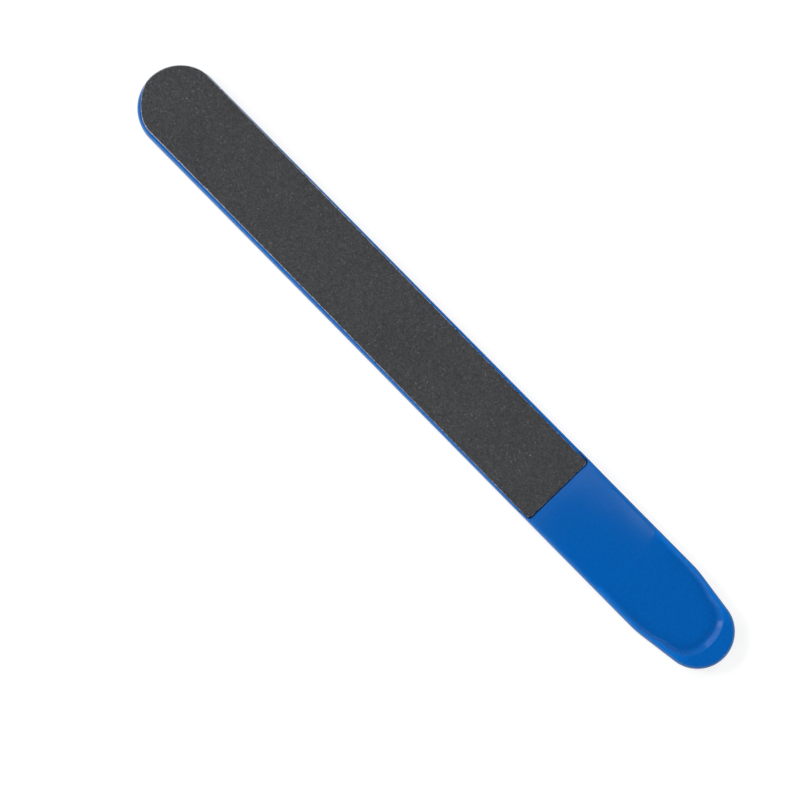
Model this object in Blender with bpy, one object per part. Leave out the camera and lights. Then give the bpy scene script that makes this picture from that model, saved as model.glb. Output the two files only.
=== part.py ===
"""Flat nail file: a moulded plastic body and a self-adhesive abrasive strip laid on its bed.

Lengths are metres. The file lies on its plain back, +Z up, with its long axis along X: the
round tip is at -X and the handle at +X. The origin is the middle of the back.
"""

import math

import bmesh
import bpy

# Body blank
BODY_LENGTH = 0.18
BODY_WIDTH = 0.0191
BODY_THICKNESS = 0.0026
BODY_EDGE_RADIUS = 0.0002

# Handle end
TAPER_LENGTH = 0.0177
SHOULDER_RADIUS = 0.025
NOSE_NARROWING = 0.0014

# Bed for the strip: the face is stepped down over its whole width, from the tip to a wall at the
# handle. A short cheek stands at each end of the wall, beside the strip.
BED_LENGTH = 0.129
BED_DEPTH = 0.0005
BED_CORNER_RADIUS = 0.0009
CHEEK_LENGTH = 0.0048
CHEEK_WIDTH = 0.00035
CHEEK_START_RUN = 0.0024

# Thumb rest: the handle's face dips over its whole width, then a rim stands up round the floor
DIP_LENGTH = 0.0089
REST_LENGTH = 0.0267
REST_DEPTH = 0.0012
REST_WALL_RUN = 0.00145
REST_END_LAND = 0.004
REST_SIDE_LAND = 0.0008
REST_NOSE_NARROWING = 0.001325
RIM_START_RUN = 0.0009
DIP_START_SLOPE_SHARE = 0.5

# Abrasive strip: adhesive, backing sheet and grit, laid by hand a little askew and past the tip,
# where it is trimmed flush with the body
STRIP_SIDE_MARGIN = 0.00065
STRIP_END_GAP = 0.0004
STRIP_TIP_OVERHANG = 0.00012
STRIP_LEFT_CORNER_RADIUS = 0.0006
STRIP_RIGHT_CORNER_RADIUS = 0.001
STRIP_OFFSET = 0.00008
STRIP_SKEW_DEG = -0.26
ADHESIVE_THICKNESS = 0.00008
ADHESIVE_INSET = 0.0001
BACKING_THICKNESS = 0.0003
GRIT_THICKNESS = 0.00017
GRIT_INSET = 0.00016

# Facets of the round shapes
TIP_STEPS = 40
NOSE_STEPS = 18
SHOULDER_STEPS = 3
CORNER_STEPS = 6
EDGE_STEPS = 3
DIP_STEPS = 6
REST_SIDE_STEPS = 5

# How far cutters run past the solid, and the part of the dip's length they start ahead of it
CUT_OVERRUN = 0.001
DIP_LEAD_SHARE = 0.25
SHARP_ANGLE_DEG = 30

BODY_BLUE = (0.006, 0.105, 0.42, 1)
ADHESIVE_CLEAR = (0.55, 0.52, 0.42, 1)
BACKING_GREY = (0.24, 0.27, 0.31, 1)
GRIT_BLACK = (0.06, 0.062, 0.065, 1)
BODY_ROUGHNESS = 0.42
ADHESIVE_ROUGHNESS = 0.3
BACKING_ROUGHNESS = 0.7
GRIT_ROUGHNESS = 0.9

QUARTER = math.pi / 2
HALF_WIDTH = BODY_WIDTH / 2
TIP_X = -BODY_LENGTH / 2
END_X = BODY_LENGTH / 2
SHOULDER_X = END_X - TAPER_LENGTH
BED_FLOOR_Z = BODY_THICKNESS - BED_DEPTH
BED_END_X = TIP_X + BED_LENGTH
REST_END_X = END_X - REST_END_LAND
REST_START_X = REST_END_X - REST_LENGTH
DIP_START_X = REST_START_X - DIP_LENGTH
WALL_SLOPE = REST_WALL_RUN / REST_DEPTH


def clear_scene():
    for obj in list(bpy.data.objects):
        bpy.data.objects.remove(obj, do_unlink=True)


def arc(centre_x, centre_y, radius, start, end, steps):
    """Stations (x, y, normal x, normal y) along an arc, from one normal angle to another."""
    stations = []
    for step in range(steps + 1):
        angle = start + (end - start) * step / steps
        nx, ny = math.cos(angle), math.sin(angle)
        stations.append((centre_x + radius * nx, centre_y + radius * ny, nx, ny))
    return stations


def mirrored(stations):
    """The same stations on the other side of the long axis, in the opposite order."""
    return [(x, -y, nx, -ny) for x, y, nx, ny in reversed(stations)]


def nose(half_width, end_x, narrowing):
    """The left half of a tapered round end, from the straight side to the apex."""
    nose_radius = half_width - narrowing
    centre_x = end_x - nose_radius
    along = centre_x - SHOULDER_X
    taper = math.acos(nose_radius / math.hypot(half_width, along))
    taper -= math.atan2(along, half_width)
    blend_x = SHOULDER_X - SHOULDER_RADIUS * math.tan(taper / 2)
    blend_y = half_width - SHOULDER_RADIUS
    facing = QUARTER - taper
    shoulder = arc(blend_x, blend_y, SHOULDER_RADIUS, QUARTER, facing, SHOULDER_STEPS)
    return shoulder + arc(centre_x, 0, nose_radius, facing, 0, NOSE_STEPS)


def body_stations():
    """The outline of the whole file: round tip, straight sides and tapered handle end."""
    tip = arc(TIP_X + HALF_WIDTH, 0, HALF_WIDTH, 3 * QUARTER, QUARTER, TIP_STEPS)
    left = nose(HALF_WIDTH, END_X, NOSE_NARROWING)
    return tip + left + mirrored(left[:-1])


def bed_stations():
    """The bed's outline. It runs outside the file as far as the cheeks, then inside them."""
    half = HALF_WIDTH - CHEEK_WIDTH
    outside = HALF_WIDTH + CUT_OVERRUN
    cheek_x = BED_END_X - CHEEK_LENGTH
    inner_x = BED_END_X - BED_CORNER_RADIUS
    inner_y = half - BED_CORNER_RADIUS
    side = [(TIP_X - CUT_OVERRUN, outside, 0, 1), (cheek_x, outside, 0, 1)]
    side.append((cheek_x + CHEEK_START_RUN, half, 0, 1))
    left = side + arc(inner_x, inner_y, BED_CORNER_RADIUS, QUARTER, 0, CORNER_STEPS)
    return left + mirrored(left)


def rest_stations():
    """The left half of the thumb rest's top edge, from ahead of the dip to its apex.

    It runs outside the file along the dip, then round the slanted end of the rim and inside it.
    """
    half = HALF_WIDTH - REST_SIDE_LAND
    outside = HALF_WIDTH + CUT_OVERRUN + WALL_SLOPE * REST_DEPTH
    end = nose(half, REST_END_X, REST_NOSE_NARROWING)
    lead_x = DIP_START_X - DIP_LEAD_SHARE * DIP_LENGTH
    rim_x = REST_START_X + RIM_START_RUN
    dip = [(x, outside, 0, 1) for x in spaced(lead_x, REST_START_X, DIP_STEPS)]
    side = [(x, half, 0, 1) for x in spaced(rim_x, end[0][0], REST_SIDE_STEPS)]
    return dip + [(REST_START_X, outside, 0, 1)] + side + end


def spaced(first, last, steps):
    """Even steps from the first place up to, and without, the last one."""
    return [first + (last - first) * step / steps for step in range(steps)]


def strip_stations():
    """The strip's outline about the strip's own middle: round tip and two cut corners."""
    half = strip_half_width()
    reach = strip_length() / 2
    left, right = STRIP_LEFT_CORNER_RADIUS, STRIP_RIGHT_CORNER_RADIUS
    tip = arc(half - reach, 0, half, 3 * QUARTER, QUARTER, TIP_STEPS)
    upper = arc(reach - left, half - left, left, QUARTER, 0, CORNER_STEPS)
    lower = arc(reach - right, right - half, right, 0, -QUARTER, CORNER_STEPS)
    return tip + upper + lower


def strip_half_width():
    return HALF_WIDTH - STRIP_SIDE_MARGIN


def strip_length():
    return BED_LENGTH + STRIP_TIP_OVERHANG - STRIP_END_GAP


def rest_depth(x):
    """How far the rest's floor lies under the handle's face. It is negative ahead of the dip."""
    share = (x - DIP_START_X) / (REST_END_X - DIP_START_X)
    steepening = (1 - DIP_START_SLOPE_SHARE) * share
    return REST_DEPTH * share * (DIP_START_SLOPE_SHARE + steepening)


def ring(stations, inset, z):
    """The outline drawn in by an inset, at one height."""
    return [(x - inset * nx, y - inset * ny, z) for x, y, nx, ny in stations]


def edge_rings(stations):
    """Rings that round a blank's bottom and top edges over, from its back to its face."""
    rings = []
    for step in range(EDGE_STEPS + 1):
        angle = QUARTER * step / EDGE_STEPS
        inset = BODY_EDGE_RADIUS * (1 - math.sin(angle))
        rings.append((inset, BODY_EDGE_RADIUS * (1 - math.cos(angle))))
    upper = [(inset, BODY_THICKNESS - z) for inset, z in reversed(rings)]
    return [ring(stations, inset, z) for inset, z in rings + upper]


def new_object(name, mesh, material=None):
    obj = bpy.data.objects.new(name, mesh)
    bpy.context.scene.collection.objects.link(obj)
    if material:
        mesh.materials.append(material)
    mesh.shade_smooth()
    mesh.set_sharp_from_angle(angle=math.radians(SHARP_ANGLE_DEG))
    return obj


def mesh_of(name, points, faces):
    """A mesh with its faces turned outwards."""
    mesh = bpy.data.meshes.new(name)
    mesh.from_pydata(points, [], faces)
    shape = bmesh.new()
    shape.from_mesh(mesh)
    bmesh.ops.recalc_face_normals(shape, faces=shape.faces)
    shape.to_mesh(mesh)
    shape.free()
    return mesh


def walls(rings):
    """Quads that join each ring to the next one."""
    size = len(rings[0])
    faces = []
    for lower in range(0, (len(rings) - 1) * size, size):
        for i in range(size):
            after = (i + 1) % size
            faces.append((lower + i, lower + after, lower + size + after, lower + size + i))
    return faces


def lofted(name, rings):
    """A closed mesh through rings of as many points each, with flat caps."""
    points = [point for one in rings for point in one]
    size = len(rings[0])
    caps = [tuple(range(size)), tuple(range(len(points) - size, len(points)))]
    return mesh_of(name, points, walls(rings) + caps)


def rest_cutter():
    """The space over the dip and the thumb rest, with a floor that is level across the file."""
    left = rest_stations()
    stations = left + mirrored(left[:-1])
    foot = []
    for x, y, nx, ny in stations:
        depth = rest_depth(x)
        inset = WALL_SLOPE * depth
        foot.append((x - inset * nx, y - inset * ny, BODY_THICKNESS - depth))
    top = ring(stations, -WALL_SLOPE * CUT_OVERRUN, BODY_THICKNESS + CUT_OVERRUN)
    size = len(stations)
    faces = walls([foot, top])
    faces.append(tuple(range(size, 2 * size)))
    for i in range(len(left) - 2):
        faces.append((i, i + 1, size - 2 - i, size - 1 - i))
    apex = len(left) - 1
    faces.append((apex - 1, apex, apex + 1))
    return new_object("thumb_rest_cutter", mesh_of("thumb_rest_cutter", foot + top, faces))


def bed_cutter():
    stations = bed_stations()
    rings = [ring(stations, 0, BED_FLOOR_Z), ring(stations, 0, BODY_THICKNESS + CUT_OVERRUN)]
    return new_object("bed_cutter", lofted("bed_cutter", rings))


def strip_trimmer():
    """The outline of the body, over the height of the strip. What lies inside it is kept."""
    stations = body_stations()
    bottom = BED_FLOOR_Z - CUT_OVERRUN
    rings = [ring(stations, 0, bottom), ring(stations, 0, BODY_THICKNESS + CUT_OVERRUN)]
    return new_object("strip_trimmer", lofted("strip_trimmer", rings))


def cut(obj, cutter, operation="DIFFERENCE"):
    """Takes the cutter's space out of the object, or all but that space. Hides the cutter."""
    modifier = obj.modifiers.new(cutter.name, "BOOLEAN")
    modifier.operation = operation
    modifier.solver = "EXACT"
    modifier.object = cutter
    cutter.display_type = "WIRE"
    cutter.hide_render = True


def surface(name, colour, roughness):
    material = bpy.data.materials.new(name)
    material.use_nodes = True
    shader = material.node_tree.nodes["Principled BSDF"]
    shader.inputs["Base Color"].default_value = colour
    shader.inputs["Roughness"].default_value = roughness
    shader.inputs["Metallic"].default_value = 0
    return material


def make_body():
    blank = lofted("file_body", edge_rings(body_stations()))
    body = new_object("file_body", blank, surface("moulded_blue_plastic", BODY_BLUE, BODY_ROUGHNESS))
    cut(body, bed_cutter())
    cut(body, rest_cutter())


def make_strip():
    """Three layers about the strip's middle, on an empty that lies on the floor of the bed.

    The trimmer then takes off what hangs over the tip.
    """
    trimmer = strip_trimmer()
    seat = bpy.data.objects.new("strip_seat", None)
    bpy.context.scene.collection.objects.link(seat)
    middle_x = TIP_X - STRIP_TIP_OVERHANG + strip_length() / 2
    seat.location = (middle_x, STRIP_OFFSET, BED_FLOOR_Z)
    seat.rotation_euler.z = math.radians(STRIP_SKEW_DEG)
    layers = (
        ("adhesive_film", ADHESIVE_INSET, ADHESIVE_THICKNESS, ADHESIVE_CLEAR, ADHESIVE_ROUGHNESS),
        ("abrasive_backing", 0, BACKING_THICKNESS, BACKING_GREY, BACKING_ROUGHNESS),
        ("grit_coat", GRIT_INSET, GRIT_THICKNESS, GRIT_BLACK, GRIT_ROUGHNESS),
    )
    bottom = 0
    for name, inset, thickness, colour, roughness in layers:
        top = bottom + thickness
        stations = strip_stations()
        sheet = lofted(name, [ring(stations, inset, bottom), ring(stations, inset, top)])
        layer = new_object(name, sheet, surface(name, colour, roughness))
        layer.parent = seat
        cut(layer, trimmer, "INTERSECT")
        bottom = top


clear_scene()
make_body()
make_strip()
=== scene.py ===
"""Looks of a flat nail file: satin blue plastic with a black abrasive strip, on a pale floor.

Lengths are metres, in the frame of the solids: the file lies on its back, +Z up, with the round
tip at -X, the handle at +X and its left side at +Y. Plan sizes repeat the solids' own.
"""

import math

import bmesh
import bpy
import numpy as np
from mathutils import Matrix, Vector
from mathutils.geometry import delaunay_2d_cdt


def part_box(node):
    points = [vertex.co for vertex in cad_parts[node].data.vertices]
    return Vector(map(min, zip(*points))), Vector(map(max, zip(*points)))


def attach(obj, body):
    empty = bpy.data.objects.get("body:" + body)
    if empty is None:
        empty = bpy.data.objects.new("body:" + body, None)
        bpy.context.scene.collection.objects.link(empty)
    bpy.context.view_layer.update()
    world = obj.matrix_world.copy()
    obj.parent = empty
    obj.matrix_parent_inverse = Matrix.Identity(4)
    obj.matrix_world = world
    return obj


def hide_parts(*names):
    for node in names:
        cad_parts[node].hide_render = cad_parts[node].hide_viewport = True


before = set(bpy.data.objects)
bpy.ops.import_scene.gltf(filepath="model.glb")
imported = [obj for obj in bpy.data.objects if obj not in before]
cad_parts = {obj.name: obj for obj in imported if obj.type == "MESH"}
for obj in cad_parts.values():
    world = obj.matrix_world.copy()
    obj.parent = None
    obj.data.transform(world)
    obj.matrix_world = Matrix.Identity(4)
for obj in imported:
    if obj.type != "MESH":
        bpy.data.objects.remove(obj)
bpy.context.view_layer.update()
body_low, body_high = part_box("file_body")
film_low, film_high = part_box("adhesive_film")
sheet_low, sheet_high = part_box("abrasive_backing")
grit_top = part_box("grit_coat")[1].z

QUARTER = math.pi / 2

# Body blank and handle end, as in the solids
HALF_WIDTH = (body_high.y - body_low.y) / 2
TIP_X = body_low.x
END_X = body_high.x
FACE_Z = body_high.z
TAPER_LENGTH = 0.0177
SHOULDER_X = END_X - TAPER_LENGTH
SHOULDER_RADIUS = 0.025
NOSE_NARROWING = 0.0014

# Rounding of the body's edges
EDGE_RADIUS = 0.0008
EDGE_BLEND_RUN = 0.004
TIP_EDGE_RADIUS = 0.0001
TIP_EDGE_RUN = 0.016
BACK_EDGE_RADIUS = 0.0002
BACK_FLAT_INSET = 1.25 * BACK_EDGE_RADIUS

# Bed and its cheeks. Its outline runs outside the file as far as the cheeks.
BED_END_X = TIP_X + 0.129
BED_DEPTH = 0.0005
BED_CORNER_RADIUS = 0.0009
BED_EDGE_RADIUS = 0.00045
BED_OVERRUN = 0.001
CHEEK_LENGTH = 0.0048
CHEEK_WIDTH = 0.00035
CHEEK_START_RUN = 0.0024
STEP_RADIUS = 0.00012
STEP_DRAFT = 0.00003

# Dip of the face, which deepens into the thumb rest
REST_END_X = END_X - 0.004
REST_START_X = REST_END_X - 0.0267
REST_DEPTH = 0.00095
DIP_START_X = BED_END_X - 0.0068
SPOON_POWER = 1.5
SPOON_FADE_LENGTH = 0.012
REST_SPOON_SHARE = 0.15
FACE_SINK = 0.0001
FACE_HOLLOW = 0.00007
FACE_HOLLOW_START_X = BED_END_X - 0.001

# Wall and outline of the thumb rest. The outline runs outside the file along the dip.
REST_WALL_SLOPE = 0.62
REST_WALL_RUN = REST_DEPTH / REST_WALL_SLOPE
REST_LIP_BLEND = 0.00007
REST_FOOT_BLEND = 0.0002
REST_SIDE_LAND = 0.0008
REST_OVERRUN = 0.003
REST_LEAD = 0.005
REST_TAPER = math.radians(6.6)
REST_NOSE_LENGTH = 0.00695
REST_NOSE_HALF_WIDTH = 0.00755
REST_NOSE_POWER = 2.25
RIM_START_RUN = 0.0009

# Painted glow, standing in for light through the plastic: in the narrow land beside the rest, and
# along the free edges
LAND_WIDTHS = (0.0009, 0.0026)
PAINTED_LAND_GLOWS = (1, 0.15)
PAINTED_GLOW_FADE = 0.001
PAINTED_EDGE_GLOW = 0.7
PAINTED_EDGE_GLOW_WIDTH = 0.0012

# Painted highlight on the rim of the face: its shares at the tip, the bed's end, the shoulder and
# the handle's end, and how much it leans to the left side there
PAINTED_RIM_HIGHLIGHT_WIDTH = 0.00055
PAINTED_RIM_HIGHLIGHT_SHARES = (0.9, 0.1, 0.1, 0.6)
PAINTED_RIM_HIGHLIGHT_LEAN = 0.5

# Abrasive strip
STRIP_MIDDLE_X = TIP_X + 0.06424
STRIP_OFFSET = 0.00008
STRIP_SKEW = math.radians(-0.26)
STRIP_REACH = 0.06436
STRIP_HALF_WIDTH = HALF_WIDTH - 0.00065
STRIP_FLARE = 0.00015
STRIP_FLARE_RUN = 0.05
STRIP_TIP_CUT = 0.0005
STRIP_LEFT_CORNER_RADIUS = 0.0006
STRIP_RIGHT_CORNER_RADIUS = 0.001
FILM_INSET = 0.00025
SHEET_BEVEL = 0.00005
SHEET_ROUGHNESS = 0.000012

# Grit coat: how far it lies inside the backing, its edge, which thins out, and its grains' relief.
# Where the tip is cut short, it lies closer to the backing's edge.
GRIT_INSET = 0.00017
GRIT_END_INSET = 0.00004
GRIT_TIP_CORNER_CUT = 0.6
GRIT_EDGE_ROUGHNESS = 0.00004
GRIT_EDGE_RUN = 0.00025
GRIT_EDGE_DROP = 0.7
GRAIN_SPACING = 0.00018
GRAIN_JITTER = 0.35
GRAIN_CLEARANCE = 0.6
GRAIN_RELIEF = 0.00009
GRAIN_RELIEF_POWER = 1.5

# Pale grains: where the brightest lie, as x, y and radius, and how the others are strewn
PLACED_GRAINS = (
    (-0.0809, 0.0024, 0.00018),
    (-0.063, -0.0085, 0.00013),
    (0.0092, 0.0066, 0.00015),
    (0.0095, 0.0063, 0.00014),
    (0.0289, 0.0009, 0.00015),
    (0.0357, -0.0022, 0.00015),
)
STREWN_GRAINS = 9
STREWN_X = (TIP_X + 0.008, BED_END_X - 0.002)
STREWN_Y = (-0.008, 0.008)
STREWN_RADII = (0.00005, 0.00008)
GRAIN_DENTS = (0.75, 1)
GRAIN_SQUASH = 0.6

# Seeds of the random draws
FILM_SEED = 10
SHEET_SEED = 11
GRIT_EDGE_SEED = 12
GRIT_SEED = 13
PALE_GRAIN_SEED = 14

# Spacing of the points that a surface is made of
OUTLINE_SPACING = 0.0015
LINE_SPACING = 0.0004
HANDLE_SPACING = 0.0006
STRIP_EDGE_SPACING = 0.00035
MERGE_DISTANCE = 1e-7

# Search for the nearest point of an outline: the least squared length of a stretch, the points
# in one block, and which of the strip's ragged stations make a plain outline
LEAST_LENGTH_SQUARED = 1e-18
BLOCK_SIZE = 1000
PLAIN_EDGE_STRIDE = 6

# Lines of points along the body's edge and the rest's wall, as shares of the edge's radius and
# of the wall's run
EDGE_LINE_SHARES = (0.015, 0.05, 0.11, 0.19, 0.3, 0.43, 0.58, 0.78, 1, 1.15)
WALL_LINE_SHARES = (-0.1, -0.05, -0.02, 0.01, 0.04, 0.08, 0.2, 0.32, 0.44, 0.56, 0.68, 0.8, 0.9,
                    1, 1.1, 1.2, 1.3)

# Steps that a curve is made of
TIP_STEPS = 96
NOSE_STEPS = 48
SHOULDER_STEPS = 8
BED_CORNER_STEPS = 10
REST_SHOULDER_STEPS = 4
REST_NOSE_STEPS = 40
STRIP_TIP_STEPS = 90
STRIP_CORNER_STEPS = 8
STEP_PROFILE_STEPS = 4
BACK_EDGE_STEPS = 5
SHEET_BEVEL_STEPS = 3

# Angles, in degrees, from which an edge is shaded sharp
BODY_SHARP = 50
SHEET_SHARP = 40
GRIT_SHARP = 180
GRAIN_SHARP = 10


def arc(centre_x, centre_y, radius, start, end, steps):
    """Stations (x, y, normal x, normal y) along an arc, from one normal angle to another."""
    angles = np.linspace(start, end, steps + 1)
    nx, ny = np.cos(angles), np.sin(angles)
    return np.stack([centre_x + radius * nx, centre_y + radius * ny, nx, ny], -1)


def mirrored(stations):
    """The same stations on the other side of the long axis, in the opposite order."""
    return stations[::-1] * np.array([1, -1, 1, -1])


def spaced(stations, spacing):
    """A closed line's stations, with more between them wherever they lie too far apart."""
    filled = []
    for here, after in zip(stations, np.roll(stations, -1, 0)):
        count = max(1, math.ceil(math.hypot(*(after - here)[:2]) / spacing))
        shares = np.arange(count)[:, None] / count
        filled.append(here + (after - here) * shares)
    return np.concatenate(filled)


def offset(stations, inset):
    """The points of the stations, moved in against their normals."""
    return stations[:, :2] - inset * stations[:, 2:]


def body_nose():
    """The left half of the handle's tapered round end, from the straight side to the apex."""
    nose_radius = HALF_WIDTH - NOSE_NARROWING
    centre_x = END_X - nose_radius
    along = centre_x - SHOULDER_X
    taper = math.acos(nose_radius / math.hypot(HALF_WIDTH, along))
    taper -= math.atan2(along, HALF_WIDTH)
    blend_x = SHOULDER_X - SHOULDER_RADIUS * math.tan(taper / 2)
    shoulder = arc(blend_x, HALF_WIDTH - SHOULDER_RADIUS, SHOULDER_RADIUS,
                   QUARTER, QUARTER - taper, SHOULDER_STEPS)
    end = arc(centre_x, 0, nose_radius, QUARTER - taper, 0, NOSE_STEPS)
    return np.concatenate([shoulder, end])


def body_outline():
    """The blank's outline: a round tip, straight sides and the tapered handle end."""
    tip = arc(TIP_X + HALF_WIDTH, 0, HALF_WIDTH, 3 * QUARTER, QUARTER, TIP_STEPS)
    left = body_nose()
    return spaced(np.concatenate([tip, left, mirrored(left[:-1])])[::-1], OUTLINE_SPACING)


def bed_outline():
    """The step round the bed. It runs outside the file as far as the cheeks, then inside them."""
    half = HALF_WIDTH - CHEEK_WIDTH
    outside = HALF_WIDTH + BED_OVERRUN
    cheek_x = BED_END_X - CHEEK_LENGTH
    side = np.array([
        (TIP_X - BED_OVERRUN, outside, 0, 1),
        (cheek_x, outside, 0, 1),
        (cheek_x + CHEEK_START_RUN, half, 0, 1),
    ])
    corner = arc(BED_END_X - BED_CORNER_RADIUS, half - BED_CORNER_RADIUS, BED_CORNER_RADIUS,
                 QUARTER, 0, BED_CORNER_STEPS)
    left = np.concatenate([side, corner])
    return np.concatenate([left, mirrored(left)])[::-1]


def rest_nose():
    """The left half of the thumb rest's end, blunter than an ellipse, from its side to the apex."""
    turn = np.linspace(QUARTER, 0, REST_NOSE_STEPS + 1)
    cosine, sine = np.maximum(np.cos(turn), 0), np.sin(turn)
    power = 2 / REST_NOSE_POWER
    along, across = cosine ** power, sine ** power
    normals = np.stack([
        cosine ** (2 - power) / REST_NOSE_LENGTH,
        sine ** (2 - power) / REST_NOSE_HALF_WIDTH,
    ], -1)
    normals /= np.linalg.norm(normals, axis=1)[:, None]
    x = REST_END_X - REST_NOSE_LENGTH * (1 - along)
    return np.column_stack([x, REST_NOSE_HALF_WIDTH * across, normals])


def rest_outline():
    """The thumb rest's lip. It runs outside the file along the dip, then inside the rim."""
    half = HALF_WIDTH - REST_SIDE_LAND
    outside = HALF_WIDTH + REST_OVERRUN
    side = np.array([
        (DIP_START_X - REST_LEAD, outside, 0, 1),
        (REST_START_X, outside, 0, 1),
        (REST_START_X + RIM_START_RUN, half, 0, 1),
    ])
    shoulder = arc(SHOULDER_X, half - SHOULDER_RADIUS, SHOULDER_RADIUS,
                   QUARTER, QUARTER - REST_TAPER, REST_SHOULDER_STEPS)
    left = np.concatenate([side, shoulder, rest_nose()])
    return np.concatenate([left, mirrored(left[:-1])])[::-1]


def nearest(points, outline):
    """Each point's distance inside an outline, and the outline's normal nearest to it."""
    after = np.roll(outline, -1, 0)
    start, run = outline[:, :2], (after - outline)[:, :2]
    length_squared = np.maximum((run ** 2).sum(-1), LEAST_LENGTH_SQUARED)
    distances, normals = [], []
    for block in np.array_split(points, max(1, len(points) // BLOCK_SIZE)):
        away = block[:, None] - start
        share = np.clip((away * run).sum(-1) / length_squared, 0, 1)
        gap_squared = ((away - share[..., None] * run) ** 2).sum(-1)
        best = gap_squared.argmin(1)
        rows = np.arange(len(block))
        # Inside, a ray from the point crosses the outline an odd number of times
        above = start[:, 1] > block[:, 1:]
        crosses = above != np.roll(above, -1, 1)
        slope = run[:, 0] / np.where(run[:, 1] == 0, 1, run[:, 1])
        left_of = away[..., 0] < slope * away[..., 1]
        inside = (crosses & left_of).sum(1) % 2 == 1
        distances.append(np.sqrt(gap_squared[rows, best]) * np.where(inside, 1, -1))
        found = share[rows, best][:, None]
        normals.append(outline[best, 2:] * (1 - found) + after[best, 2:] * found)
    return np.concatenate(distances), np.concatenate(normals)


def soft_floor(values, blend):
    """The values, held above zero, with a round change within the blend."""
    curve = (values + blend) ** 2 / (4 * blend)
    return np.where(values > blend, values, np.where(values < -blend, 0, curve))


def soft_least(first, second, blend):
    """The lesser of two values, with a round change where they meet."""
    share = np.clip(0.5 + 0.5 * (second - first) / blend, 0, 1)
    return second + (first - second) * share - blend * share * (1 - share)


def step_profile():
    """Distance inside the bed's outline against drop: a round lip, a drafted wall, a round foot."""
    turn = np.linspace(0, QUARTER, STEP_PROFILE_STEPS + 1)
    r = STEP_RADIUS
    lip = np.stack([-r + r * np.sin(turn), r - r * np.cos(turn)], -1)
    foot = np.stack([STEP_DRAFT + r - r * np.cos(turn), BED_DEPTH - r + r * np.sin(turn)], -1)
    return np.concatenate([lip, foot])


def across_share(y):
    """How far a point lies from the long axis, as a share of the half width."""
    return np.clip(np.abs(y) / HALF_WIDTH, 0, 1)


def dip_depth(x, y):
    """How far the face dips: a spoon shape at first, and a flatter floor in the thumb rest."""
    along = np.clip((x - DIP_START_X) / (REST_END_X - DIP_START_X), 0, None)
    fade = np.clip((x - REST_START_X) / SPOON_FADE_LENGTH, 0, 1)
    fade = fade * fade * (3 - 2 * fade)
    spoon = 1 + (REST_SPOON_SHARE - 1) * fade
    sink = FACE_SINK * np.clip((x - DIP_START_X) / (REST_START_X - DIP_START_X), 0, 1) ** 2
    return sink + REST_DEPTH * along ** 2 * (1 - spoon * across_share(y) ** SPOON_POWER)


def hollow(x, y):
    """The slight sink of the handle's face between its long sides."""
    return np.where(x > FACE_HOLLOW_START_X, FACE_HOLLOW * (1 - across_share(y) ** 2), 0)


def edge_radius(x):
    """Radius of the face's outer edge: tight under the strip's tip, and widest on the handle."""
    stations = (TIP_X, TIP_X + TIP_EDGE_RUN, BED_END_X, BED_END_X + EDGE_BLEND_RUN)
    return np.interp(x, stations, (TIP_EDGE_RADIUS, BED_EDGE_RADIUS, BED_EDGE_RADIUS, EDGE_RADIUS))


def face_height(points, outline, bed, rest):
    """Height of the moulded face: plain, stepped down for the strip, dipped at the handle."""
    profile = step_profile()
    step = np.interp(nearest(points, bed)[0], profile[:, 0], profile[:, 1])
    wall = REST_WALL_SLOPE * soft_floor(nearest(points, rest)[0], REST_LIP_BLEND)
    dip = np.maximum(soft_least(dip_depth(*points.T), wall, REST_FOOT_BLEND), 0)
    drop = dip + hollow(*points.T)
    radius = edge_radius(points[:, 0])
    short = np.clip(radius - nearest(points, outline)[0], 0, radius)
    edge = radius - np.sqrt(np.maximum(radius ** 2 - short ** 2, 0))
    return FACE_Z - step - drop - edge


def painted_edge_glow(points, outline, rest):
    """How much painted glow lightens the plastic: most in the narrow land beside the thumb rest."""
    edge, lip = nearest(points, outline)[0], nearest(points, rest)[0]
    land = np.clip(edge, 0, None) + np.clip(-lip, 0, None)
    beside_rest = np.interp(land, LAND_WIDTHS, PAINTED_LAND_GLOWS) * np.clip(1 - lip / PAINTED_GLOW_FADE, 0, 1)
    plain = PAINTED_EDGE_GLOW * np.clip(1 - edge / PAINTED_EDGE_GLOW_WIDTH, 0, 1)
    share = np.clip((points[:, 0] - REST_START_X) / RIM_START_RUN, 0, 1)
    return np.maximum(plain, beside_rest * share)


def painted_rim_highlight(points, outline):
    """How strong the painted highlight on the face's rim is: most at the two ends, and on the
    handle's left side.
    """
    x, y = points.T
    edge = np.clip(1 - nearest(points, outline)[0] / PAINTED_RIM_HIGHLIGHT_WIDTH, 0, 1)
    lean = PAINTED_RIM_HIGHLIGHT_LEAN * y / HALF_WIDTH * np.clip((x - SHOULDER_X) / TAPER_LENGTH, 0, 1)
    return edge * (np.interp(x, (TIP_X, BED_END_X, SHOULDER_X, END_X), PAINTED_RIM_HIGHLIGHT_SHARES) + lean)


def triangulated(outline, lines, loose):
    """Points and triangles that fill an outline, with every line kept as edges."""
    points, edges = [], []
    for line, closed in [(outline, True)] + lines:
        first = len(points)
        points.extend(line)
        edges.extend((i, i + 1) for i in range(first, len(points) - 1))
        if closed:
            edges.append((len(points) - 1, first))
    points.extend(loose)
    found = delaunay_2d_cdt([Vector(point) for point in points], edges, [], 1, MERGE_DISTANCE)
    flat, _, faces = found[:3]
    return np.array([tuple(point) for point in flat]), np.array([tuple(face) for face in faces])


def within(points, faces, outline):
    """The faces inside an outline, with only the points that they use."""
    faces = faces[nearest(points[faces].mean(1), outline)[0] > 0]
    used, faces = np.unique(faces, return_inverse=True)
    return points[used], faces.reshape(-1, 3)


def rim_of(faces):
    """The loop of points round the outside of the faces, in the faces' own direction."""
    faces = [list(face) for face in faces]
    sides = {(face[i - 1], face[i]) for face in faces for i in range(len(face))}
    following = {a: b for a, b in sides if (b, a) not in sides}
    loop = [min(following)]
    while following[loop[-1]] != loop[0]:
        loop.append(following[loop[-1]])
    return loop


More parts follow.
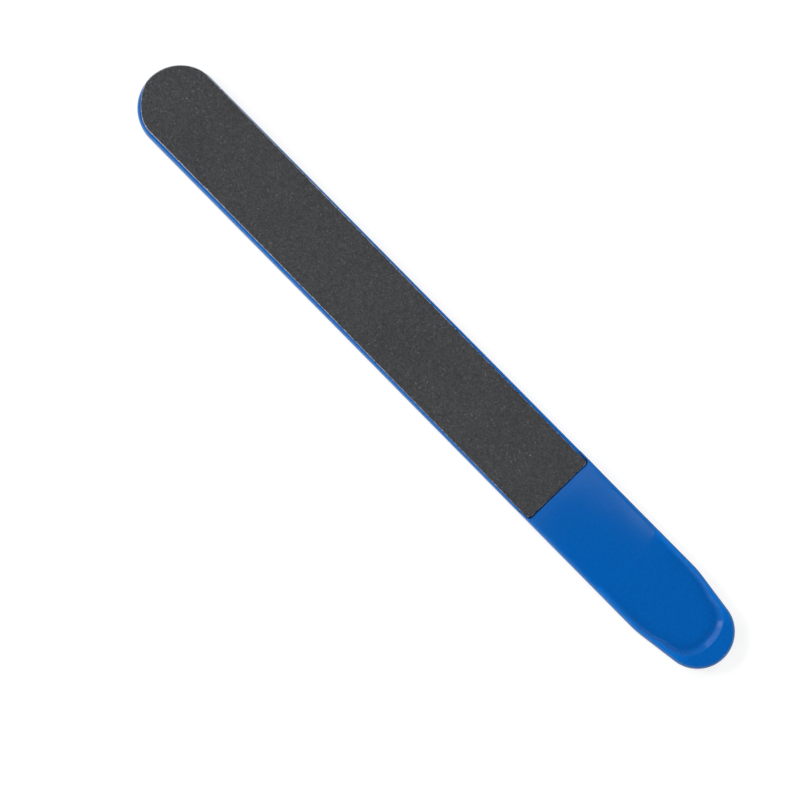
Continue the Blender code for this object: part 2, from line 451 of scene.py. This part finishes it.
def closed_mesh(name, points, faces, rings):
    """A surface closed below by rings of points under its rim, and a flat cap."""
    upper = rim_of(faces)
    size = len(upper)
    first = len(points)
    faces = [tuple(face) for face in faces]
    for _ in rings:
        lower = list(range(first, first + size))
        for i in range(size):
            faces.append((upper[i], upper[i - 1], lower[i - 1], lower[i]))
        upper = lower
        first += size
    faces.append(tuple(reversed(upper)))
    mesh = bpy.data.meshes.new(name)
    mesh.from_pydata(np.concatenate([points] + rings).tolist(), [], faces)
    mesh.validate()
    return mesh


def flat_ring(points, z):
    """Points in the plane, given a height."""
    return np.column_stack([points, np.full(len(points), z)])


def piece(name, mesh, node, material, sharp_angle):
    """A finished piece that rides with the file. It stands for a node of the solids, or none."""
    obj = bpy.data.objects.new(name, mesh)
    bpy.context.scene.collection.objects.link(obj)
    mesh.materials.append(material)
    mesh.shade_smooth()
    mesh.set_sharp_from_angle(angle=math.radians(sharp_angle))
    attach(obj, "root")
    if node:
        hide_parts(node)


def inside_part(line, outline):
    """The stretches of a line that lie within the outline or just past it, as open lines."""
    kept = nearest(line, outline)[0] > -LINE_SPACING / 2
    stretches, current = [], []
    for point, keep in zip(line, kept):
        if keep:
            current.append(point)
        elif current:
            stretches.append((current, False))
            current = []
    if current:
        stretches.append((current, False))
    return stretches


def body_lines(outline, bed, rest):
    """Lines of points along the body's edge, the bed's step and the thumb rest's wall."""
    lines = [(offset(outline, share * EDGE_RADIUS), True) for share in EDGE_LINE_SHARES]
    bed_line = spaced(bed, LINE_SPACING)
    for inset in (-2 * STEP_RADIUS, *step_profile()[:, 0], 2 * STEP_RADIUS):
        lines.extend(inside_part(offset(bed_line, inset), outline))
    rest_line = spaced(rest, LINE_SPACING)
    for share in WALL_LINE_SHARES:
        lines.extend(inside_part(offset(rest_line, share * REST_WALL_RUN), outline))
    return lines


def handle_points(outline):
    """A grid of points over the handle's face, clear of its edge."""
    xs = np.arange(BED_END_X + HANDLE_SPACING, END_X, HANDLE_SPACING)
    ys = np.arange(-HALF_WIDTH, HALF_WIDTH, HANDLE_SPACING)
    grid = np.stack(np.meshgrid(xs, ys), -1).reshape(-1, 2)
    return grid[nearest(grid, outline)[0] > HANDLE_SPACING]


def back_rings(rim, normals):
    """Rings of points under the rim: down to the back, round its edge and just inside it."""
    rings = []
    for turn in np.linspace(0, QUARTER, BACK_EDGE_STEPS + 1):
        inset = BACK_EDGE_RADIUS * (1 - math.cos(turn))
        rings.append(flat_ring(rim - inset * normals, BACK_EDGE_RADIUS * (1 - math.sin(turn))))
    rings.append(flat_ring(rim - BACK_FLAT_INSET * normals, 0))
    return rings


def write_values(mesh, name, values):
    """Gives each point of a mesh a value that its material reads."""
    mesh.attributes.new(name, "FLOAT", "POINT").data.foreach_set("value", values)


def moulded_body(material):
    """The plastic body: its moulded face, its sides and the rounded edge of its flat back."""
    outline, bed, rest = body_outline(), bed_outline(), rest_outline()
    lines = body_lines(outline, bed, rest)
    flat, faces = triangulated(offset(outline, 0), lines, handle_points(outline))
    flat, faces = within(flat, faces, outline)
    points = np.column_stack([flat, face_height(flat, outline, bed, rest)])
    rim = flat[rim_of(faces)]
    rings = back_rings(rim, nearest(rim, outline)[1])
    mesh = closed_mesh("moulded_body", points, faces, rings)
    # Shares of painted glow and painted rim highlight, written on the points for the material
    painted_glow, painted_rim_light = np.zeros((2, len(mesh.vertices)))
    painted_glow[:len(flat)] = painted_edge_glow(flat, outline, rest)
    # The sides get the full painted glow
    painted_glow[len(flat):-2 * len(rim)] = PAINTED_EDGE_GLOW
    # Painted rim highlight on the face's points
    painted_rim_light[:len(flat)] = painted_rim_highlight(flat, outline)
    write_values(mesh, "painted_edge_glow", painted_glow)
    write_values(mesh, "painted_rim_highlight", painted_rim_light)
    piece("moulded_body", mesh, "file_body", material, BODY_SHARP)


def tip_corner(stations):
    """One half way round the tip's right side, where the strip is cut short, and zero elsewhere."""
    return (2 * np.minimum(stations[:, 2], 0) * np.minimum(stations[:, 3], 0)) ** 2


def trimmed(points):
    """The points, drawn back to the body's outline where they hang over its round tip."""
    centre = np.array([TIP_X + HALF_WIDTH, 0])
    away = points - centre
    radius = np.hypot(*away.T)
    over = (points[:, 0] < centre[0]) & (radius > HALF_WIDTH)
    return np.where(over[:, None], centre + away * (HALF_WIDTH / radius)[:, None], points)


def strip_outline(inset, roughness, seed):
    """The strip's outline where it lies, ragged from its cutting and trimmed flush at the tip."""
    half, reach = STRIP_HALF_WIDTH, STRIP_REACH
    left, right = STRIP_LEFT_CORNER_RADIUS, STRIP_RIGHT_CORNER_RADIUS
    tip = arc(half - reach, 0, half, 3 * QUARTER, QUARTER, STRIP_TIP_STEPS)
    left_corner = arc(reach - left, half - left, left, QUARTER, 0, STRIP_CORNER_STEPS)
    right_corner = arc(reach - right, right - half, right, 0, -QUARTER, STRIP_CORNER_STEPS)
    corners = np.concatenate([tip, left_corner, right_corner])[::-1]
    stations = spaced(corners, STRIP_EDGE_SPACING)
    flare = STRIP_FLARE * np.clip(1 - (stations[:, 0] + reach) / STRIP_FLARE_RUN, 0, 1)
    stations[:, 1] += flare * np.sign(stations[:, 3]) * np.abs(stations[:, 3]) ** 2
    draws = np.random.default_rng(seed).normal(0, roughness, len(stations))
    ragged = inset + np.clip(draws, -2 * roughness, 2 * roughness)
    ragged += STRIP_TIP_CUT * tip_corner(stations)
    points = stations[:, :2] - ragged[:, None] * stations[:, 2:]
    cosine, sine = math.cos(STRIP_SKEW), math.sin(STRIP_SKEW)
    turn = np.array([[cosine, sine], [-sine, cosine]])
    placed = trimmed(points @ turn + (STRIP_MIDDLE_X, STRIP_OFFSET))
    return np.concatenate([placed, stations[:, 2:] @ turn], 1)


def adhesive_layer(material):
    """The clear film between the strip and the bed, a little inside the strip's edge."""
    line = offset(strip_outline(FILM_INSET, 0, FILM_SEED), 0)
    faces = [tuple(range(len(line)))]
    top, bottom = flat_ring(line, film_high.z), flat_ring(line, film_low.z)
    mesh = closed_mesh("adhesive_layer", top, faces, [bottom])
    piece("adhesive_layer", mesh, "adhesive_film", material, SHEET_SHARP)


def die_cut_backing(material):
    """The strip's backing sheet, with the upper edge of its die cut rounded."""
    stations = strip_outline(0, SHEET_ROUGHNESS, SHEET_SEED)
    levels = []
    for turn in np.linspace(0, QUARTER, SHEET_BEVEL_STEPS + 1):
        line = offset(stations, SHEET_BEVEL * (1 - math.cos(turn)))
        levels.append(flat_ring(line, sheet_high.z - SHEET_BEVEL * (1 - math.sin(turn))))
    levels.append(flat_ring(offset(stations, 2 * SHEET_BEVEL), sheet_high.z))
    points = np.concatenate(levels)
    size = len(stations)
    faces = [tuple(range(len(points) - size, len(points)))]
    for lower in range(0, len(points) - size, size):
        upper = lower + size
        for i in range(size):
            before = (i - 1) % size
            faces.append((lower + before, lower + i, upper + i, upper + before))
    bottom = flat_ring(offset(stations, 0), sheet_low.z)
    mesh = closed_mesh("die_cut_backing", points, faces, [bottom])
    piece("die_cut_backing", mesh, "abrasive_backing", material, SHEET_SHARP)


def grit_outline():
    """The grit coat's outline: a little inside the backing's, and least so at the bed's end."""
    stations = strip_outline(0, GRIT_EDGE_ROUGHNESS, GRIT_EDGE_SEED)
    share = (stations[:, :1] - TIP_X) / (BED_END_X - TIP_X)
    inset = GRIT_INSET + (GRIT_END_INSET - GRIT_INSET) * share
    inset *= 1 - GRIT_TIP_CORNER_CUT * tip_corner(stations)[:, None]
    stations[:, :2] -= inset * stations[:, 2:]
    return stations


def grit_surface(material):
    """The grit coat, with a relief of grains that thins out towards its edge."""
    stations = grit_outline()
    plain = stations[::PLAIN_EDGE_STRIDE]
    low, high = stations[:, :2].min(0), stations[:, :2].max(0)
    rng = np.random.default_rng(GRIT_SEED)
    axes = (np.arange(a, b, GRAIN_SPACING) for a, b in zip(low, high))
    loose = np.stack(np.meshgrid(*axes), -1).reshape(-1, 2)
    loose = loose + rng.uniform(-GRAIN_JITTER, GRAIN_JITTER, loose.shape) * GRAIN_SPACING
    loose = loose[nearest(loose, plain)[0] > GRAIN_CLEARANCE * GRAIN_SPACING]
    flat, faces = triangulated(stations[:, :2], [], loose)
    inside = np.clip(nearest(flat, plain)[0] / GRIT_EDGE_RUN, 0, 1)
    heights = grit_top - GRAIN_RELIEF * rng.uniform(0, 1, len(flat)) ** GRAIN_RELIEF_POWER
    heights -= (grit_top - GRAIN_RELIEF - sheet_high.z) * GRIT_EDGE_DROP * (1 - inside)
    points = np.column_stack([flat, heights])
    bottom = flat_ring(flat[rim_of(faces)], sheet_high.z)
    mesh = closed_mesh("grit_surface", points, faces, [bottom])
    piece("grit_surface", mesh, "grit_coat", material, GRIT_SHARP)


def bright_grains(material):
    """A few pale grains caught in the black grit."""
    rng = np.random.default_rng(PALE_GRAIN_SEED)
    grains = list(PLACED_GRAINS)
    for _ in range(STREWN_GRAINS):
        grains.append([rng.uniform(*limits) for limits in (STREWN_X, STREWN_Y, STREWN_RADII)])
    shape = bmesh.new()
    for x, y, radius in grains:
        made = bmesh.ops.create_icosphere(shape, subdivisions=1, radius=radius)
        centre = Vector((x, y, grit_top - radius * GRAIN_SQUASH))
        for vertex in made["verts"]:
            vertex.co *= rng.uniform(*GRAIN_DENTS)
            vertex.co.z *= GRAIN_SQUASH
            vertex.co += centre
    mesh = bpy.data.meshes.new("bright_grains")
    shape.to_mesh(mesh)
    shape.free()
    piece("bright_grains", mesh, None, material, GRAIN_SHARP)


# Colours of the plastic: plain, its two shades, its painted glow, painted light on tilted faces and
# painted rim highlight
BLUE = (0, 0.106, 0.44)
BLUE_SHADES = ((0, 0.103, 0.427), (0, 0.109, 0.447))
PAINTED_GLOW_BLUE = (0.002, 0.158, 0.61)
PAINTED_SLOPE_LIGHT_BLUE = (0.08, 0.23, 0.54)
PAINTED_RIM_HIGHLIGHT_BLUE = (0.16, 0.3, 0.56)

# Painted light on tilted faces: stops (place, value) of how pale the plastic is, against how level
# it lies
PAINTED_SLOPE_LIGHT_STOPS = ((0, 0.6), (0.3, 0.9), (0.8, 0.3), (0.86, 0.05), (0.985, 0))

# Painted shade in corners: stops of brightness against how open they are, and how far the shade
# reaches
PAINTED_CORNER_SHADE_STOPS = ((0.6, 0.05), (1, 1))
PAINTED_CORNER_SHADE_REACH = 0.003
PAINTED_CORNER_SHADE_SAMPLES = 12

# Colours of the strip's layers, each with its two shades or its stops
PAPER = (0.42, 0.45, 0.5)
PAPER_SHADES = ((0.26, 0.28, 0.32), (0.5, 0.53, 0.57))
GRIT = (0.065, 0.066, 0.069)
GRIT_STOPS = ((0, (0.034, 0.035, 0.037)), (0.95, (0.062, 0.063, 0.067)), (1, (0.095, 0.096, 0.1)))
PALE_GRAIN = (0.5, 0.5, 0.52)
PALE_GRAIN_STOPS = ((0, (0.22, 0.22, 0.23)), (1, (0.55, 0.55, 0.57)))
FILM = (0.55, 0.52, 0.42)
FILM_SHADES = ((0.45, 0.43, 0.36), (0.6, 0.57, 0.48))

# Sockets of a Mix node that blends colours: its factor and colours, and its result
MIX_INPUTS = (0, 6, 7)
MIX_RESULT = 2


def opaque(colour):
    """A colour or a grey as red, green, blue and alpha."""
    return (*colour, 1) if isinstance(colour, tuple) else (colour, colour, colour, 1)


class Look:
    """A node material with one Principled shader, and short ways to add to it."""

    def __init__(self, name, colour, roughness, specular):
        self.material = bpy.data.materials.new(name)
        self.material.use_nodes = True
        self.tree = self.material.node_tree
        self.shader = self.tree.nodes["Principled BSDF"]
        self.shader.inputs["Base Color"].default_value = opaque(colour)
        self.shader.inputs["Roughness"].default_value = roughness
        self.shader.inputs["Specular IOR Level"].default_value = specular
        coordinates = self.tree.nodes.new("ShaderNodeTexCoord")
        self.place = coordinates.outputs["Object"]
        self.normal = coordinates.outputs["Normal"]

    def add(self, kind, links=(), **values):
        """A node with its links, and values for its own settings or its inputs."""
        node = self.tree.nodes.new(kind)
        for name, value in values.items():
            if name in node.bl_rna.properties:
                setattr(node, name, value)
            else:
                node.inputs[name.replace("_", " ")].default_value = value
        for socket, source in links:
            self.tree.links.new(source, node.inputs[socket])
        return node

    def noise(self, size, detail):
        """Smooth noise, with waves of about a size."""
        links = [("Vector", self.place)]
        return self.add("ShaderNodeTexNoise", links, Scale=1 / size, Detail=detail).outputs["Fac"]

    def cells(self, size):
        """A random value for each cell of about a size."""
        cell = self.add("ShaderNodeTexVoronoi", [("Vector", self.place)], Scale=1 / size)
        colour = [("Color", cell.outputs["Color"])]
        return self.add("ShaderNodeSeparateColor", colour).outputs["Red"]

    def attribute(self, name):
        """A value written at the points of the mesh."""
        return self.add("ShaderNodeAttribute", attribute_name=name).outputs["Fac"]

    def ramp(self, source, stops):
        """A value turned into a colour or a grey through stops of (place, colour)."""
        node = self.add("ShaderNodeValToRGB", [("Fac", source)])
        elements = node.color_ramp.elements
        while len(elements) < len(stops):
            elements.new(0.5)
        for element, (place, colour) in zip(elements, stops):
            element.position = place
            element.color = opaque(colour)
        return node.outputs["Color"]

    def clouds(self, size, detail, shades, spread=0.2):
        """Soft clouds of about a size, from one colour or grey to another."""
        places = (0.5 - spread, 0.5 + spread)
        return self.ramp(self.noise(size, detail), list(zip(places, shades)))

    def mix(self, share, first, second, blend="MIX"):
        """A blend of two colours, each one written or made by other nodes."""
        node = self.add("ShaderNodeMix", data_type="RGBA", blend_type=blend)
        for socket, source in zip(MIX_INPUTS, (share, first, second)):
            if isinstance(source, bpy.types.NodeSocket):
                self.tree.links.new(source, node.inputs[socket])
            else:
                node.inputs[socket].default_value = opaque(source) if socket else source
        return node.outputs[MIX_RESULT]

    def times(self, first, second):
        """The product of two colours."""
        return self.mix(1, first, second, "MULTIPLY")

    def bump(self, height, depth, strength, under=None):
        """The normal of a relief of a depth, over another normal or the face's own."""
        links = [("Height", height)] + ([("Normal", under)] if under else [])
        node = self.add("ShaderNodeBump", links, Distance=depth, Strength=strength)
        return node.outputs["Normal"]

    def feed(self, socket, source):
        """Links a result to an input of the Principled shader."""
        self.tree.links.new(source, self.shader.inputs[socket])


def blue_plastic():
    """Moulded plastic, with painted light in its colour: a painted glow at its edges, paler tilted
    faces, a painted rim highlight and painted shade in its corners.
    """
    look = Look("satin_blue_plastic", BLUE, roughness=0.08, specular=0.03)
    height = look.add("ShaderNodeSeparateXYZ", [("Vector", look.normal)]).outputs["Z"]
    level = look.add("ShaderNodeMath", [(0, height)], operation="ABSOLUTE").outputs[0]
    # Openness of corners, which sets the painted shade
    corner_openness = look.add("ShaderNodeAmbientOcclusion", samples=PAINTED_CORNER_SHADE_SAMPLES, only_local=True,
                      Distance=PAINTED_CORNER_SHADE_REACH)
    colour = look.clouds(size=0.018, detail=3, shades=BLUE_SHADES)
    # Painted glow: a paler colour at the edges and beside the thumb rest
    colour = look.mix(look.attribute("painted_edge_glow"), colour, PAINTED_GLOW_BLUE)
    # Painted light: faces that tilt away from level are painted paler
    colour = look.mix(look.ramp(level, PAINTED_SLOPE_LIGHT_STOPS), colour, PAINTED_SLOPE_LIGHT_BLUE)
    # Painted highlight along the rim of the face
    colour = look.mix(look.attribute("painted_rim_highlight"), colour, PAINTED_RIM_HIGHLIGHT_BLUE)
    # Painted shade: a darker colour in corners and recesses
    colour = look.times(colour, look.ramp(corner_openness.outputs["AO"], PAINTED_CORNER_SHADE_STOPS))
    colour = look.times(colour, look.clouds(size=0.0006, detail=4, shades=(0.88, 1.05)))
    look.feed("Base Color", colour)
    look.feed("Roughness", look.clouds(size=0.003, detail=4, shades=(0.07, 0.09)))
    texture = look.bump(look.noise(size=0.0012, detail=3), depth=0.000004, strength=0.5)
    waves = look.noise(size=0.006, detail=2)
    look.feed("Normal", look.bump(waves, depth=0.00002, strength=0.3, under=texture))
    return look.material


def backing_paper():
    """The pale, fibrous sheet that shows where the strip is cut."""
    look = Look("pale_backing", PAPER, roughness=0.7, specular=0.3)
    look.feed("Base Color", look.clouds(size=0.0004, detail=5, shades=PAPER_SHADES, spread=0.25))
    look.feed("Normal", look.bump(look.noise(size=0.0001, detail=3), depth=0.00001, strength=0.6))
    return look.material


def black_grit():
    """Dull black grains in their resin, a few of them a little paler."""
    look = Look("black_grit", GRIT, roughness=0.85, specular=0.2)
    grains = look.ramp(look.cells(size=0.00028), GRIT_STOPS)
    clouds = look.clouds(size=0.009, detail=3, shades=(0.9, 1.03))
    look.feed("Base Color", look.times(grains, clouds))
    look.feed("Roughness", look.clouds(size=0.0003, detail=2, shades=(0.75, 0.95)))
    look.feed("Normal", look.bump(look.noise(size=0.00012, detail=2), depth=0.00002, strength=0.6))
    return look.material


def pale_grain():
    """A single grain that catches the light."""
    look = Look("pale_grain", PALE_GRAIN, roughness=0.35, specular=0.5)
    look.feed("Base Color", look.ramp(look.cells(size=0.002), PALE_GRAIN_STOPS))
    return look.material


def clear_film():
    """The adhesive, yellowish and uneven."""
    look = Look("clear_film", FILM, roughness=0.3, specular=0.5)
    look.feed("Base Color", look.clouds(size=0.002, detail=3, shades=FILM_SHADES))
    look.feed("Roughness", look.clouds(size=0.0008, detail=2, shades=(0.22, 0.4)))
    return look.material


UP = Vector((0, 0, 1))

# The photograph's view
CAMERA_AZIMUTH = math.radians(45.655)
CAMERA_ELEVATION = math.radians(82.4)
CAMERA_DISTANCE = 0.969
CAMERA_LENS_MM = 198.87
CAMERA_TARGET = Vector((0.00024, -0.01091, FACE_Z))
PICTURE_RIGHT = Vector((math.cos(CAMERA_AZIMUTH), math.sin(CAMERA_AZIMUTH), 0))
PICTURE_UP = Vector((-math.sin(CAMERA_AZIMUTH), math.cos(CAMERA_AZIMUTH), 0))

# Soft lamps round the file: turn from the picture's right and elevation, in degrees, then
# distance, width, height and share of the light
ROUND_LAMPS = (
    ("key_lamp", 166, 29, 1.55, 0.34, 0.42, 0.24),
    ("window_lamp", 140, 28, 1.6, 0.9, 0.35, 0.2),
    ("right_lamp", 51, 30, 1.2, 0.3, 0.3, 0.1),
    ("left_lamp", 219, 30, 1.2, 0.3, 0.3, 0.05),
    ("end_lamp", -39, 25, 1.2, 0.3, 0.3, 0.11),
)

# A small lamp near the camera, mirrored by the dip of the handle
TOP_LAMP_LEAN = Vector((0.0307, 0.0395, 1))
TOP_LAMP_FOOT = Vector((-0.0058, 0.0129, 0))
TOP_LAMP_DISTANCE = 0.573
TOP_LAMP_WIDTH = 0.075
TOP_LAMP_HEIGHT = 0.03
TOP_LAMP_SHARE = 0.077

# Light from the white surroundings, and the floor, which is dull but looks white to the camera
AMBIENT = 0.25
FLOOR_REACH = 2.0
FLOOR_Z = -0.00002
FLOOR_ALBEDO = 0.31
FLOOR_LIFT = 0.75


def look_along(obj, back):
    """Turns a camera or lamp to look against a direction, with its width level."""
    across = (UP.cross(back)).normalized()
    obj.rotation_euler = Matrix((across, back.cross(across), back)).transposed().to_euler()


def make_camera():
    """The camera, at the photograph's view."""
    data = bpy.data.cameras.new("camera")
    data.lens = CAMERA_LENS_MM
    camera = bpy.data.objects.new("camera", data)
    bpy.context.scene.collection.objects.link(camera)
    back = UP * math.sin(CAMERA_ELEVATION) - PICTURE_UP * math.cos(CAMERA_ELEVATION)
    camera.location = CAMERA_TARGET + back * CAMERA_DISTANCE
    look_along(camera, back)
    bpy.context.scene.camera = camera


def place_lamp(name, foot, away, distance, width, height, share):
    """A lamp that faces its foot from a distance. The camera doesn't see it.

    Its share is the part of a level surface's written colour that it renders.
    """
    data = bpy.data.lights.new(name, "AREA")
    data.shape = "RECTANGLE"
    data.size = width
    data.size_y = height
    data.energy = share * (math.pi * distance) ** 2 / away.z
    lamp = bpy.data.objects.new(name, data)
    bpy.context.scene.collection.objects.link(lamp)
    lamp.location = foot + away * distance
    look_along(lamp, away)
    lamp.visible_camera = False


def make_lamps():
    """The lamps round the file and the small one above it."""
    for name, turn, elevation, distance, width, height, share in ROUND_LAMPS:
        turn, elevation = math.radians(turn), math.radians(elevation)
        level = PICTURE_RIGHT * math.cos(turn) + PICTURE_UP * math.sin(turn)
        away = level * math.cos(elevation) + UP * math.sin(elevation)
        place_lamp(name, Vector(), away, distance, width, height, share)
    place_lamp("top_lamp", TOP_LAMP_FOOT, TOP_LAMP_LEAN.normalized(), TOP_LAMP_DISTANCE,
               TOP_LAMP_WIDTH, TOP_LAMP_HEIGHT, TOP_LAMP_SHARE)


def seen_directly(tree):
    """One where a ray comes from the camera, a reflection or a clear piece, and zero otherwise."""
    path = tree.nodes.new("ShaderNodeLightPath")
    total = path.outputs["Is Camera Ray"]
    for name in ("Is Glossy Ray", "Is Transmission Ray"):
        node = tree.nodes.new("ShaderNodeMath")
        node.operation = "MAXIMUM"
        tree.links.new(total, node.inputs[0])
        tree.links.new(path.outputs[name], node.inputs[1])
        total = node.outputs[0]
    return total


def make_world():
    """White surroundings, which light the file less than they show."""
    world = bpy.data.worlds.new("white_studio")
    bpy.context.scene.world = world
    world.use_nodes = True
    tree = world.node_tree
    strength = tree.nodes.new("ShaderNodeMapRange")
    strength.inputs["To Min"].default_value = AMBIENT
    strength.inputs["To Max"].default_value = 1
    tree.links.new(seen_directly(tree), strength.inputs["Value"])
    background = tree.nodes["Background"]
    background.inputs["Color"].default_value = (1, 1, 1, 1)
    tree.links.new(strength.outputs["Result"], background.inputs["Strength"])


def make_floor():
    """A plain floor, lifted to white where it is seen, so that it keeps only a faint shadow."""
    mesh = bpy.data.meshes.new("floor")
    sides = ((-1, -1), (1, -1), (1, 1), (-1, 1))
    corners = [(FLOOR_REACH * x, FLOOR_REACH * y, 0) for x, y in sides]
    mesh.from_pydata(corners, [], [(0, 1, 2, 3)])
    floor = bpy.data.objects.new("floor", mesh)
    floor.location.z = FLOOR_Z
    bpy.context.scene.collection.objects.link(floor)
    look = Look("pale_floor", FLOOR_ALBEDO, roughness=0.8, specular=0)
    look.shader.inputs["Emission Color"].default_value = opaque(1)
    lift = look.add("ShaderNodeMath", [(0, seen_directly(look.tree))], operation="MULTIPLY")
    lift.inputs[1].default_value = FLOOR_LIFT
    look.feed("Emission Strength", lift.outputs[0])
    mesh.materials.append(look.material)


moulded_body(blue_plastic())
die_cut_backing(backing_paper())
grit_surface(black_grit())
bright_grains(pale_grain())
adhesive_layer(clear_film())

make_camera()
make_world()
make_floor()
make_lamps()
bpy.context.scene.view_settings.view_transform = "Standard"
